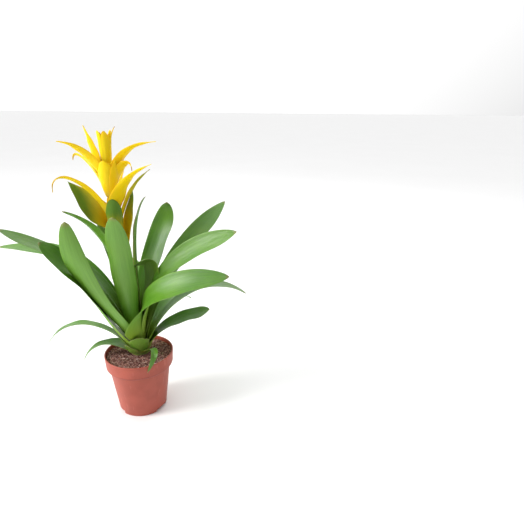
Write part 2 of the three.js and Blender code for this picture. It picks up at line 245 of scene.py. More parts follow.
def applied(piece):
    """The piece's shape with its modifiers applied, as a mesh of its own."""
    return bpy.data.meshes.new_from_object(piece.evaluated_get(bpy.context.evaluated_depsgraph_get()))


def pot_mesh():
    """The turned pot with its drain cuts taken out."""
    blank = bpy.data.objects.new("pot_blank", turned_mesh("pot_blank", pot_wall_profile(), POT_SIDES))
    bpy.context.scene.collection.objects.link(blank)
    cuts = bmesh.new()
    for index in range(DRAIN_CUTS):
        bearing = math.radians(DRAIN_BEARING + 360 / DRAIN_CUTS * index)
        place = Matrix.Rotation(bearing, 4, "Z") @ Matrix.Translation((DRAIN_REACH + DRAIN_DEPTH / 2, 0, 0))
        size = Matrix.Diagonal((DRAIN_DEPTH, DRAIN_WIDTH, DRAIN_HEIGHT * 2, 1))
        bmesh.ops.create_cube(cuts, size=1, matrix=Matrix.Scale(MILLIMETRE, 4) @ place @ size)
    cutter_mesh = bpy.data.meshes.new("drain_cuts")
    cuts.to_mesh(cutter_mesh)
    cuts.free()
    cutter = bpy.data.objects.new("drain_cuts", cutter_mesh)
    bpy.context.scene.collection.objects.link(cutter)
    drain = blank.modifiers.new("drain", "BOOLEAN")
    drain.object = cutter
    drain.operation = "DIFFERENCE"
    drain.solver = "EXACT"
    bpy.context.view_layer.update()
    mesh = applied(blank)
    bpy.data.objects.remove(blank)
    bpy.data.objects.remove(cutter)
    mesh.shade_smooth()
    mesh.set_sharp_from_angle(angle=math.radians(SHARP_ANGLE))
    return mesh


def pot_finish():
    material, wire = new_finish("terracotta_plastic")
    place = wire.node("ShaderNodeTexCoord", output=3)
    mottle = noise_value(place, 55, 3)
    cloud = noise_value(place, 14, 2)
    grain = noise_value(place, 1500, 2)
    stretched = wire.node("ShaderNodeMapping", None, {"Vector": place, "Scale": (1, 1, 0.12)})
    scuff = noise_value(stretched, 260, 3).smooth(0.62, 0.72)
    height = place.part(2)
    band = POT_HEIGHT - BAND_HEIGHT
    # Painted shadow: the body darkens towards the foot of the band, where the band overhangs it.
    shade_below = height.smooth((band - 6) * MILLIMETRE, (band - 0.5) * MILLIMETRE)
    shade_above = height.smooth((band + 1.2) * MILLIMETRE, (band + 0.2) * MILLIMETRE)
    light = (mottle * 0.6 + cloud * 0.4).smooth(0.35, 0.65)
    color = light.mix(TERRACOTTA_DEEP, TERRACOTTA)
    color = (scuff * 0.35).mix(color, SCUFF_PALE)
    color = (shade_below * shade_above * 0.55).mix(color, BAND_PAINTED_SHADOW)
    close_finish(
        wire,
        {"Base Color": color, "Roughness": 0.44 + mottle * 0.16 + scuff * 0.1},
        height=grain * 0.3 + mottle * 0.7,
        depth=0.12,
        constants={"Specular IOR Level": 0.45},
    )
    return material


new_piece("pot_shell", pot_mesh(), pot_finish(), "pot")

# Soil
# Loose reddish-brown peat that fills the pot to a few millimetres below the rim. Its surface is lumpy,
# and crumbs and short pale fibres lie on it, with a few white flecks.

SOIL_TOP = -4.6
ROOT_SHIFT = 7
STOCK_RADIUS = 12.4
SOIL_SIDES = 120
SOIL_RINGS = 44
SOIL_EDGE = 42.2
SOIL_GAP = 0.3
FIBRES = 1300
FIBRE_LENGTHS = (3.0, 8.5)
FIBRE_TILT = 0.28
CRUMBS = 1500
CRUMB_SIZES = (0.35, 1.05)
CRUMB_TILT = 0.6
LITTER_FROM_STOCK = 2
LITTER_FROM_WALL = 2.4
SKIN_TINT = 0.3

PEAT_SHADES = [
    (0.18, (0.018, 0.007, 0.007)),
    (0.38, (0.115, 0.046, 0.038)),
    (0.54, (0.280, 0.125, 0.100)),
    (0.74, (0.500, 0.260, 0.210)),
    (0.95, (0.850, 0.680, 0.600)),
]


def soil_lump(x, y):
    """The height of the soil's surface above its mean, in millimetres."""
    coarse = 0.6 * math.sin(0.36 * x + 1) * math.sin(0.31 * y + 2) + 0.4 * math.sin(0.83 * x - 0.61 * y)
    fine = noise.fractal(Vector((x, y, 3)) * 0.42, 0.8, 2.1, 4) * 1.25
    edge = min(max((SOIL_EDGE - math.hypot(x, y)) / 4, 0.15), 1)
    clear = min(max((math.hypot(x, y - ROOT_SHIFT) - STOCK_RADIUS) / 9, 0), 1)
    return (coarse * clear + fine * (0.3 + 0.7 * clear)) * edge


def soil_mesh():
    wall = [
        (0, POT_FLOOR + SOIL_GAP), (22.6, POT_FLOOR + SOIL_GAP), (29.9, 8.2), (37.4, POT_HEIGHT - 21.6),
        (41.7, POT_HEIGHT - 16.7),
    ]
    surface = [
        (SOIL_EDGE * (1 - step / SOIL_RINGS), POT_HEIGHT + SOIL_TOP) for step in range(SOIL_RINGS + 1)
    ]
    mesh = turned_mesh("peat", wall + surface, SOIL_SIDES)
    for vertex in mesh.vertices:
        x, y, z = vertex.co / MILLIMETRE
        if z > POT_HEIGHT + SOIL_TOP - 0.5:
            vertex.co.z = (z + soil_lump(x, y)) * MILLIMETRE
    mesh.shade_smooth()
    return mesh


def new_tree(name, inputs):
    """A geometry tree with these named inputs beside its geometry, and a wire for each of them."""
    tree = bpy.data.node_groups.new(name, "GeometryNodeTree")
    tree.interface.new_socket("Geometry", in_out="INPUT", socket_type="NodeSocketGeometry")
    tree.interface.new_socket("Geometry", in_out="OUTPUT", socket_type="NodeSocketGeometry")
    for title, kind in inputs.items():
        tree.interface.new_socket(title, in_out="INPUT", socket_type=kind)
    entry = tree.nodes.new("NodeGroupInput")
    return tree, {socket.name: Wire(tree, socket) for socket in entry.outputs if socket.name}


def close_tree(shape, material):
    """Ends a geometry tree: instances made real, smooth, and in their material."""
    wire = shape.node("GeometryNodeRealizeInstances", None, {"Geometry": shape})
    wire = wire.node("GeometryNodeSetShadeSmooth", None, {"Geometry": wire})
    wire = wire.node("GeometryNodeSetMaterial", None, {"Geometry": wire, "Material": material})
    end = shape.tree.nodes.new("NodeGroupOutput")
    shape.tree.links.new(wire.socket, end.inputs[0])


def grown(name, tree, values, base=None):
    """The mesh that a geometry tree makes with these values of its named inputs."""
    seed = bpy.data.objects.new(name, base or bpy.data.meshes.new(name))
    bpy.context.scene.collection.objects.link(seed)
    modifier = seed.modifiers.new(name, "NODES")
    modifier.node_group = tree
    for item in tree.interface.items_tree:
        if item.in_out == "INPUT" and item.name in values:
            modifier[item.identifier] = values[item.name]
    bpy.context.view_layer.update()
    mesh = applied(seed)
    bpy.data.objects.remove(seed)
    mesh.name = name
    return mesh


def litter_tree(material):
    """Scatters crumbs and fibres over the soil's surface, clear of the stock and the pot's wall."""
    tree, given = new_tree("litter", {
        "Fibre Density": "NodeSocketFloat", "Shortest Fibre": "NodeSocketFloat",
        "Longest Fibre": "NodeSocketFloat", "Crumb Density": "NodeSocketFloat",
        "Smallest Crumb": "NodeSocketFloat", "Largest Crumb": "NodeSocketFloat",
    })
    wire = given["Geometry"]
    place = wire.node("GeometryNodeInputPosition")
    top = wire.node("GeometryNodeInputNormal").part(2).maths("GREATER_THAN", 0.4)
    flat = place.vector_maths("MULTIPLY", (1, 1, 0))
    from_stem = flat.vector_maths("SUBTRACT", (0, ROOT_SHIFT * MILLIMETRE, 0)).vector_maths("LENGTH")
    from_axis = flat.vector_maths("LENGTH")
    high = place.part(2).maths("GREATER_THAN", (POT_HEIGHT + SOIL_TOP - 3) * MILLIMETRE)
    clear = from_stem.maths("GREATER_THAN", (STOCK_RADIUS + LITTER_FROM_STOCK) * MILLIMETRE)
    within = from_axis.maths("LESS_THAN", (SOIL_EDGE - LITTER_FROM_WALL) * MILLIMETRE)
    chosen = top * high * clear * within

    def scattered(density, sizes, seed, shape, tilt):
        inputs = {"Mesh": given["Geometry"], "Selection": chosen, "Density": given[density], "Seed": seed}
        points = wire.node("GeometryNodeDistributePointsOnFaces", None, inputs)
        turn = wire.node("FunctionNodeRandomValue", {"data_type": "FLOAT_VECTOR"}, {
            0: (-tilt, -tilt, 0), 1: (tilt, tilt, 2 * math.pi), "Seed": seed + 10,
        })
        size = wire.node("FunctionNodeRandomValue", {"data_type": "FLOAT"}, {
            2: given[sizes[0]], 3: given[sizes[1]], "Seed": seed + 20,
        }, 1)
        inputs = {"Points": points, "Instance": shape, "Rotation": turn, "Scale": size}
        placed = wire.node("GeometryNodeInstanceOnPoints", None, inputs)
        tint = wire.node("FunctionNodeRandomValue", {"data_type": "FLOAT"}, {
            2: 0.0, 3: 1.0, "Seed": seed + 30,
        }, 1)
        settings = {"data_type": "FLOAT", "domain": "INSTANCE"}
        return wire.node("GeometryNodeStoreNamedAttribute", settings, {
            "Geometry": placed, "Name": "tint", "Value": tint,
        })

    bow = wire.node("GeometryNodeCurvePrimitiveBezierSegment", None, {
        "Resolution": 4, "Start": (-0.5, 0, 0), "Start Handle": (-0.2, 0.22, 0.10),
        "End Handle": (0.2, -0.18, 0.06), "End": (0.5, 0.05, -0.02),
    })
    round_wire = wire.node("GeometryNodeCurvePrimitiveCircle", None, {"Resolution": 4, "Radius": 0.030})
    fibre = wire.node("GeometryNodeCurveToMesh", None, {
        "Curve": bow, "Profile Curve": round_wire, "Fill Caps": True,
    })
    ball = wire.node("GeometryNodeMeshIcoSphere", None, {"Radius": 1.0, "Subdivisions": 1})
    lump = wire.node("GeometryNodeSetPosition", None, {
        "Geometry": ball,
        "Offset": wire.node("ShaderNodeTexNoise", None, {"Scale": 1.1, "Detail": 1.0}, 1) - (0.5, 0.5, 0.5),
    })
    crumb = wire.node("GeometryNodeTransform", None, {"Geometry": lump, "Scale": (1, 0.8, 0.6)})
    skin = wire.node("GeometryNodeStoreNamedAttribute", {"data_type": "FLOAT", "domain": "POINT"}, {
        "Geometry": given["Geometry"], "Name": "tint", "Value": SKIN_TINT,
    })
    join = tree.nodes.new("GeometryNodeJoinGeometry")
    layers = [
        scattered("Fibre Density", ("Shortest Fibre", "Longest Fibre"), 4, fibre, FIBRE_TILT),
        scattered("Crumb Density", ("Smallest Crumb", "Largest Crumb"), 7, crumb, CRUMB_TILT),
        skin,
    ]
    for layer in layers:
        tree.links.new(layer.socket, join.inputs[0])
    close_tree(Wire(tree, join.outputs[0]), material)
    return tree


def litter_values():
    """The litter tree's inputs: pieces for each square metre of soil, and their sizes in metres."""
    area = math.pi * (SOIL_EDGE * MILLIMETRE) ** 2
    return {
        "Fibre Density": FIBRES / area,
        "Shortest Fibre": FIBRE_LENGTHS[0] * MILLIMETRE,
        "Longest Fibre": FIBRE_LENGTHS[1] * MILLIMETRE,
        "Crumb Density": CRUMBS / area,
        "Smallest Crumb": CRUMB_SIZES[0] * MILLIMETRE,
        "Largest Crumb": CRUMB_SIZES[1] * MILLIMETRE,
    }


def peat_finish():
    material, wire = new_finish("peat")
    place = wire.node("ShaderNodeTexCoord", output=3)
    tint = wire.node("ShaderNodeAttribute", {"attribute_name": "tint"}, None, 2)
    shade = noise_value(place, 420, 5, 0.7)
    fine = noise_value(place, 900, 3, 0.6)
    mixed = shade.smooth(0.3, 0.7) * 0.65 + tint * 0.5
    color = wire.node("ShaderNodeValToRGB", {"stops": PEAT_SHADES}, {"Fac": mixed})
    close_finish(
        wire,
        {"Base Color": color, "Roughness": 0.82 + fine * 0.15},
        height=fine * 0.6 + shade * 0.4,
        depth=0.7,
        constants={"Specular IOR Level": 0.25},
    )
    return material


peat = peat_finish()
peat_bed = grown("soil_peat", litter_tree(peat), litter_values(), soil_mesh())
new_piece("soil_peat", peat_bed, peat, "soil")

# Stem
# A short thick stock stands in the soil, and the flower stalk rises from it between the leaves and leans
# a little to the left. It is green and smooth, with a faint ring at each place where a blade joins it.

STOCK_FOOT = -30
STOCK_FOOT_RADIUS = 8.5
STOCK_TOP = 9.4
SCAPE_FOOT = 14
SCAPE_RADIUS = 4.5
SCAPE_TOP = 232
SCAPE_TOP_RADIUS = 3.8
RING_SPACING = 17
RING_HEIGHT = 0.22
RING_SPREAD = 1.1
SKIN_DEPTH = 0.1
STEM_SIDES = 32
SCAPE_STEPS = 90
PALE_FROM = 100
PALE_TO = 300

STALK_DARK = (0.16, 0.24, 0.03)
STALK_GREEN = (0.24, 0.34, 0.05)
STALK_PALE = (0.42, 0.46, 0.07)
STALK_STREAK = (0.12, 0.20, 0.03)


def smoothstep(value, start, end):
    share = min(max((value - start) / (end - start), 0), 1)
    return share * share * (3 - 2 * share)


def stem_axis(height):
    """Where the stem's axis is at a height above the rim, in millimetres."""
    up = max(height, 0)
    return -0.125 * up * (1 - up / 568), ROOT_SHIFT * (1 - smoothstep(height, -5, 55))


def stem_mesh():
    profile = [
        (0, STOCK_FOOT), (STOCK_FOOT_RADIUS, STOCK_FOOT), (STOCK_RADIUS, -6), (STOCK_RADIUS, -4.2),
        (STOCK_RADIUS - 4, 3), (5, STOCK_TOP),
    ]
    for step in range(SCAPE_STEPS + 1):
        share = step / SCAPE_STEPS
        height = SCAPE_FOOT + (SCAPE_TOP - SCAPE_FOOT) * share
        from_ring = height % RING_SPACING - RING_SPACING / 2
        ring = RING_HEIGHT * math.exp(-(from_ring / RING_SPREAD) ** 2)
        radius = SCAPE_RADIUS + (SCAPE_TOP_RADIUS - SCAPE_RADIUS) * share
        profile.append((radius + ring - SKIN_DEPTH, height))
    profile.append((0, SCAPE_TOP))
    mesh = turned_mesh("stem", profile, STEM_SIDES)
    for vertex in mesh.vertices:
        x, y = stem_axis(vertex.co.z / MILLIMETRE)
        vertex.co += Vector((x, y, POT_HEIGHT)) * MILLIMETRE
    mesh.shade_smooth()
    return mesh


def stalk_finish():
    material, wire = new_finish("green_stalk")
    place = wire.node("ShaderNodeTexCoord", output=3)
    streaks = noise_value(wire.node("ShaderNodeMapping", None, {
        "Vector": place, "Scale": (1, 1, 0.06),
    }), 900, 3)
    cloud = noise_value(place, 60, 2)
    up = place.part(2).smooth(PALE_FROM * MILLIMETRE, PALE_TO * MILLIMETRE)
    green = cloud.mix(STALK_DARK, STALK_GREEN)
    color = up.mix(green, STALK_PALE)
    color = (streaks.smooth(0.35, 0.65) * 0.4).mix(color, STALK_STREAK)
    close_finish(
        wire,
        {"Base Color": color, "Roughness": 0.42 + streaks * 0.15},
        height=streaks,
        depth=0.15,
        constants={"Subsurface Weight": 0.06, "Subsurface Scale": 0.002},
    )
    return material


new_piece("stem_stalk", stem_mesh(), stalk_finish(), "stem")

# Leaves
# Strap leaves with smooth margins stand in a funnel round the stock, their pale sheaths one inside
# another. Each is dark and glossy above, lighter below, and finely ribbed along its length.

MIDRIB = 1.1
MARGIN = 0.64
RIB_LOSS = 0.6
SLIMMEST = 0.25
EDGE_ROUNDING = 0.4
GROOVE_WIDTH = 0.16
GROOVE_DEPTH = 0.3
WAVES = 23
WAVE_SLANT = 1.3
WOBBLE = 0.018
WOBBLE_PACE = 0.6
CHANNEL_LOSS = 0.6
ROLL_GROWTH = 1.5
SLOPE_STEP = 0.004
BLADE_AROUND = 28
BLADE_STEPS = 44
STEP_CROWDING = 1.2

UPPER_DARK = (0.048, 0.160, 0.007)
UPPER_GREEN = (0.098, 0.270, 0.014)
UNDER_DARK = (0.098, 0.262, 0.016)
UNDER_GREEN = (0.165, 0.375, 0.032)
LEAF_CLOUD = (0.15, 0.31, 0.016)
SHEATH_PALE = (0.27, 0.38, 0.026)
MARGIN_PALE = (0.24, 0.40, 0.06)
VEIN_SHADE = (0.035, 0.120, 0.006)
LEAF_YELLOWED = (0.52, 0.48, 0.14)
LEAF_TIP_BROWN = (0.24, 0.17, 0.05)
MARGIN_DRY = (0.36, 0.24, 0.12)

# Foot, rise, crown and tip bend the midrib: reach from the stem and height above the rim. Sway moves its
# middle and tip sideways and roll turns them. Look is a seed for the veins, the yellowing and the dryness.
LEAF_HABIT = {
    "sway": (0, 0), "roll": (0, 0), "width": 28, "waist": 0.8, "open": (12, 36), "channel": 30,
    "point": 2.6, "wide": 0.58, "blunt": 0.7, "sheath": 1.15, "flare": 0.11, "wrap": 42, "lean": 0,
    "ripple": 0.5, "look": (0.5, 0, 0),
}
LEAVES = {
    "left_inner": dict(bearing=215, ring=0, rise=(22, 84), crown=(4, 168), tip=(71, 199), sway=(0, -6),
                       roll=(0, 30), width=22),
    # The back leaf's broad dry margins are partly real dryness, partly painted shade that dulls it to a
    # dark olive.
    "back": dict(bearing=70, ring=0, rise=(18, 98), crown=(-2, 178), tip=(42, 202), roll=(-30, -50),
                 width=26, look=(0.2, 0, 0.7)),
    "inner_curled": dict(bearing=15, ring=0, rise=(20, 66), crown=(48, 156), tip=(-1, 118), roll=(35, 30),
                         width=26, open=(12, 26), blunt=0.5, look=(0.5, 0.15, 0)),
    "back_left": dict(bearing=140, ring=1, rise=(18, 115), crown=(46, 156), tip=(58, 201), sway=(0, 5)),
    "right_upright": dict(bearing=58, ring=1, rise=(14, 110), crown=(84, 163), tip=(61, 193), sway=(7, -8),
                          roll=(11, 18), width=30),
    "left_long": dict(bearing=190, ring=2, rise=(17, 115), crown=(79, 136), tip=(146, 176), sway=(0, 4),
                      roll=(0, -20)),
    "right_long": dict(bearing=350, ring=2, rise=(16, 126), crown=(82, 152), tip=(137, 174), roll=(30, 45),
                       width=29),
    "left_arching": dict(bearing=168, ring=3, rise=(30, 132), crown=(108, 142), tip=(188, 133), sway=(0, 4),
                         roll=(-10, -10)),
    "right_upper": dict(bearing=25, ring=3, rise=(24, 110), crown=(86, 152), tip=(127, 194), roll=(25, 30),
                        width=29),
    "front": dict(bearing=275, ring=3, rise=(14, 70), crown=(24, 135), tip=(50, 196), sway=(-4, -5),
                  roll=(2, -4), width=30, waist=0.92, point=3.2, blunt=0.55),
    "back_high": dict(bearing=105, ring=4, rise=(20, 66), crown=(42, 98), tip=(72, 108), width=27),
    "left_near": dict(bearing=225, ring=4, rise=(18, 60), crown=(72, 90), tip=(74, 191), sway=(-2, -2),
                      roll=(-4, 62), width=31, waist=1.1, point=3, blunt=0.5, sheath=1.6, flare=0.35),
    "right_broad": dict(bearing=305, ring=4, rise=(16, 90), crown=(84, 128), tip=(115, 128), sway=(-12, 75),
                        roll=(50, 38), width=33, waist=1, open=(8, 22), sheath=1.35, flare=0.3),
    "left_folded": dict(bearing=207, ring=5, rise=(48, 74), crown=(64, 128), tip=(100, 166), sway=(0, 4),
                        roll=(10, -70), width=31, waist=0.85),
    "right_low": dict(bearing=20, ring=5, rise=(28, 66), crown=(95, 110), tip=(153, 61), sway=(-4, 4),
                      roll=(-10, 10)),
    "back_low_left": dict(bearing=125, ring=5, rise=(24, 60), crown=(66, 92), tip=(105, 50), width=26),
    "back_low": dict(bearing=95, ring=6, rise=(26, 52), crown=(66, 80), tip=(105, 44), width=26),
    "right_lowest": dict(bearing=12, ring=6, rise=(26, 43), crown=(76, 46), tip=(95, 60), sway=(0, -16),
                         roll=(3, 10)),
    "left_lowest": dict(bearing=190, ring=6, rise=(32, 46), crown=(82, 65), tip=(116, 16), sway=(3, -8),
                        roll=(12, 2), width=21),
    "front_sheath": dict(bearing=285, ring=6, rise=(18, 4), crown=(18, 16), tip=(24, 30), width=36,
                         waist=1, open=(24, 44), point=1.2, ripple=0.2, look=(0.7, 0.12, 0.2)),
    "back_low_right": dict(bearing=50, ring=7, rise=(26, 50), crown=(60, 75), tip=(95, 45), width=26),
    "left_sheath": dict(bearing=242, ring=7, rise=(19, 0), crown=(19, 8), tip=(24, 16), width=24, waist=1,
                        open=(30, 50), point=1.2, ripple=0.2, look=(0.7, 0.15, 0.4)),
    "front_small": dict(bearing=300, ring=7, rise=(28, 16), crown=(54, 24), tip=(52, -8), sway=(10, -6),
                        width=9, waist=0.75, point=1.6, ripple=0.2),
    "left_stub": dict(bearing=195, ring=8, rise=(26, 16), crown=(58, 24), tip=(73, -8), width=13, waist=0.9,
                      point=1.8, sheath=2.8, flare=0.35, ripple=0.2),
}

BLADE_INPUTS = {
    "Foot": "NodeSocketVector", "Rise": "NodeSocketVector", "Crown": "NodeSocketVector",
    "Tip": "NodeSocketVector", "Sway": "NodeSocketVector", "Roll": "NodeSocketVector",
    "Open": "NodeSocketVector", "Look": "NodeSocketVector", "Bearing": "NodeSocketFloat",
    "Lean": "NodeSocketFloat", "Width": "NodeSocketFloat", "Waist": "NodeSocketFloat",
    "Channel": "NodeSocketFloat", "Point": "NodeSocketFloat", "Wide": "NodeSocketFloat",
    "Sheath": "NodeSocketFloat", "Flare": "NodeSocketFloat", "Wrap": "NodeSocketFloat",
    "Ripple": "NodeSocketFloat", "Blunt": "NodeSocketFloat",
}


def blade_tree(material):
    """A blade: a flattened tube bent along its midrib, whose foot wraps the stem."""
    tree, given = new_tree("blade", BLADE_INPUTS)
    wire = given["Geometry"]
    turn = given["Bearing"].maths("RADIANS")
    cosine = turn.maths("COSINE")
    sine = turn.maths("SINE")

    def vector_of(x, y, z):
        return wire.node("ShaderNodeCombineXYZ", None, {"X": x, "Y": y, "Z": z})

    def midline(t):
        s = 1 - t
        line = given["Foot"] * (s * s * s) + given["Rise"] * (3 * s * s * t)
        return line + given["Crown"] * (3 * s * t * t) + given["Tip"] * (t * t * t)

    def midrib(t):
        line = midline(t)
        reach, height = line.part(0), line.part(1)
        sway = given["Sway"].part(0) * 4 * t * (1 - t) + given["Sway"].part(1) * t * t
        shift = height.smooth(-5.0, 55.0, ROOT_SHIFT, 0.0)
        x = given["Lean"] + reach * cosine - sway * sine
        y = shift + reach * sine + sway * cosine
        return vector_of(x, y, height)

    tube = wire.node("GeometryNodeMeshCylinder", {"fill_type": "NGON"}, {
        "Vertices": BLADE_AROUND, "Side Segments": BLADE_STEPS, "Radius": 1.0, "Depth": 1.0,
    })
    spot = wire.node("GeometryNodeInputPosition")
    across_share, side = spot.part(0), spot.part(1)
    from_tip = (0.5 - spot.part(2)).maths("MAXIMUM", 0.0)
    t = 1 - from_tip ** STEP_CROWDING

    along = midrib(t + SLOPE_STEP) - midrib(t - SLOPE_STEP)
    along = along.vector_maths("NORMALIZE")
    sideways = vector_of(0 - sine, cosine, 0.0)
    up = along.vector_maths("CROSS_PRODUCT", sideways)
    up = up.vector_maths("NORMALIZE")
    across = up.vector_maths("CROSS_PRODUCT", along)
    roll = given["Roll"].part(0) * 4 * t * (1 - t) + given["Roll"].part(1) * t ** ROLL_GROWTH
    angle = roll.maths("RADIANS")

    def rolled(direction):
        settings = {"rotation_type": "AXIS_ANGLE"}
        return wire.node("ShaderNodeVectorRotate", settings, {
            "Vector": direction, "Center": (0, 0, 0), "Axis": along, "Angle": angle,
        })

    up, across = rolled(up), rolled(across)

    waist = t.smooth(0.15, 0.55, given["Waist"], 1.0)
    foot_share = t / given["Flare"]
    swell = (given["Sheath"] - given["Waist"]) * (0 - foot_share * foot_share).maths("EXPONENT")
    past = (t - given["Wide"]) / (1 - given["Wide"])
    past = past.maths("MAXIMUM", 0.0)
    taper = (1 - past ** given["Point"]) ** given["Blunt"]
    wave = t * WAVES + across_share * WAVE_SLANT + given["Bearing"]
    wobble = 1 + WOBBLE * (wave * WOBBLE_PACE).maths("SINE")
    free = 0.5 * given["Width"] * (waist + swell) * taper * wobble

    reach = midline(t).part(0)
    reach = reach.maths("MAXIMUM", given["Foot"].part(0))
    opened = reach.smooth(given["Open"].part(0), given["Open"].part(1))
    wrap = given["Wrap"].maths("RADIANS") * reach
    wrapped = wrap.maths("MINIMUM", free)
    half = wrapped + (free - wrapped) * opened
    half = half.maths("MAXIMUM", SLIMMEST)
    channel = given["Channel"].maths("RADIANS") * (1 - CHANNEL_LOSS * t.smooth(0.6, 1.0))
    bend = half / reach + (channel - half / reach) * opened

    rib = (1 - across_share * across_share) * (1 - RIB_LOSS * t)
    thick = 0.5 * (MARGIN + (MIDRIB - MARGIN) * rib)
    upper = side.maths("SIGN")
    depth = side.maths("ABSOLUTE") ** EDGE_ROUNDING
    groove_share = across_share / GROOVE_WIDTH
    groove = 0 - groove_share * groove_share
    groove = GROOVE_DEPTH * groove.maths("EXPONENT") * t.smooth(0.1, 0.35) * t.smooth(1.0, 0.75)
    ripple = given["Ripple"] * across_share * across_share * wave.maths("SINE") * t.smooth(0.25, 0.5)
    lift = upper * depth * thick - groove + ripple

    arc = across_share * bend
    radius = half / bend
    place = midrib(t) + across * ((radius - lift) * arc.maths("SINE"))
    place = place + up * (radius - (radius - lift) * arc.maths("COSINE"))
    place = (place + (0, 0, POT_HEIGHT)) * MILLIMETRE

    settings = {"data_type": "FLOAT_VECTOR", "domain": "POINT"}
    shape = wire.node("GeometryNodeStoreNamedAttribute", settings, {
        "Geometry": tube, "Name": "blade", "Value": vector_of(across_share, t, side),
    })
    shape = wire.node("GeometryNodeStoreNamedAttribute", settings, {
        "Geometry": shape, "Name": "look", "Value": given["Look"],
    })
    shape = wire.node("GeometryNodeSetPosition", None, {"Geometry": shape, "Position": place})
    close_tree(shape, material)
    return tree


def blade_values(spec):
    """The tree's inputs for one blade."""
    def pair(title):
        return (*map(float, spec[title]), 0.0)

    pairs = ("foot", "rise", "crown", "tip", "sway", "roll", "open")
    numbers = ("bearing", "lean", "width", "waist", "channel", "point", "wide", "sheath", "flare", "wrap",
               "ripple", "blunt")
    values = {title.capitalize(): pair(title) for title in pairs}
    for title in numbers:
        values[title.capitalize()] = float(spec[title])
    values["Look"] = tuple(map(float, spec["look"]))
    return values


def blade_coordinates(wire):
    """How far across a blade a point is, from -1 to 1, how far along it, and how far to its upper face."""
    blade = wire.node("ShaderNodeAttribute", {"attribute_name": "blade"}, None, 1)
    return blade.part(0), blade.part(1), blade.part(2)


def leaf_finish():
    material, wire = new_finish("leaf_green")
    across, along, side = blade_coordinates(wire)
    look = wire.node("ShaderNodeAttribute", {"attribute_name": "look"}, None, 1)
    place = wire.node("ShaderNodeTexCoord", output=3)
    upper = side.smooth(-0.08, 0.08)
    flow = wire.node("ShaderNodeCombineXYZ", None, {"X": across * 9, "Y": along * 1.6, "Z": side * 0.3})
    veins = noise_value(flow, 3.2, 4, 0.6)
    fine = noise_value(wire.node("ShaderNodeCombineXYZ", None, {
        "X": across * 46, "Y": along * 1.2, "Z": look.part(0) * 7,
    }), 1.0, 2)
    cloud = noise_value(place, 28, 3)
    streak = veins.smooth(0.3, 0.7)
    dark = streak.mix(UPPER_DARK, UPPER_GREEN)
    light = streak.mix(UNDER_DARK, UNDER_GREEN)
    color = upper.mix(light, dark)
    color = (cloud.smooth(0.35, 0.7) * 0.4).mix(color, LEAF_CLOUD)
    sheath = along.smooth(0.34, 0.02)
    color = (sheath * 0.8).mix(color, SHEATH_PALE)
    edge = (across * across).smooth(0.80, 1.0)
    color = (edge * 0.3).mix(color, MARGIN_PALE)
    color = (fine.smooth(0.5, 0.75) * 0.22).mix(color, VEIN_SHADE)
    color = (look.part(1) * (0.5 + 0.5 * veins)).mix(color, LEAF_YELLOWED)
    tip = (along + 0.03 * cloud).smooth(0.985, 1.01)
    color = (tip * 0.6).mix(color, LEAF_TIP_BROWN)
    color = (look.part(2) * (across * across).smooth(0.5, 1.0)).mix(color, MARGIN_DRY)
    close_finish(
        wire,
        {"Base Color": color, "Roughness": 0.25 + upper.smooth(1.0, 0.0) * 0.1 + fine * 0.14},
        height=fine * 0.6 + veins * 0.4,
        depth=0.4,
        constants={"Subsurface Weight": 0.08, "Subsurface Scale": 0.0012,
                   "Subsurface Radius": (0.6, 1.0, 0.1), "Specular IOR Level": 0.6},
    )
    return material


leaf_green = leaf_finish()
leaf_tree = blade_tree(leaf_green)
for name, own in LEAVES.items():
    ring = own["ring"]
    spec = {**LEAF_HABIT, **own, "foot": (5.9 + 1.1 * ring, 10 - 1.5 * ring)}
    mesh = grown(name, leaf_tree, blade_values(spec))
    new_piece(f"blade_{name}", mesh, leaf_green, f"leaf_{name}")

# Bracts
# Coloured bracts stand round the flower stalk in steps, waxy yellow with orange painted shade along the
# margins. The lower ones are partly green and the old ones curl brown at the tip.

BLOOM_LOW = 250
BLOOM_TOP = 345

YELLOW_LOW = (0.850, 0.560, 0.003)
YELLOW_LOW_VEIN = (0.900, 0.660, 0.006)
YELLOW_TOP = (0.820, 0.560, 0.001)
YELLOW_TOP_VEIN = (0.880, 0.690, 0.004)
MARGIN_PAINTED_SHADE = (0.900, 0.460, 0.002)
BRACT_FOOT = (0.62, 0.58, 0.10)
BRACT_FADING = (0.430, 0.440, 0.022)
BRACT_GREEN = (0.120, 0.250, 0.024)
BRACT_TIP_BROWN = (0.20, 0.10, 0.02)

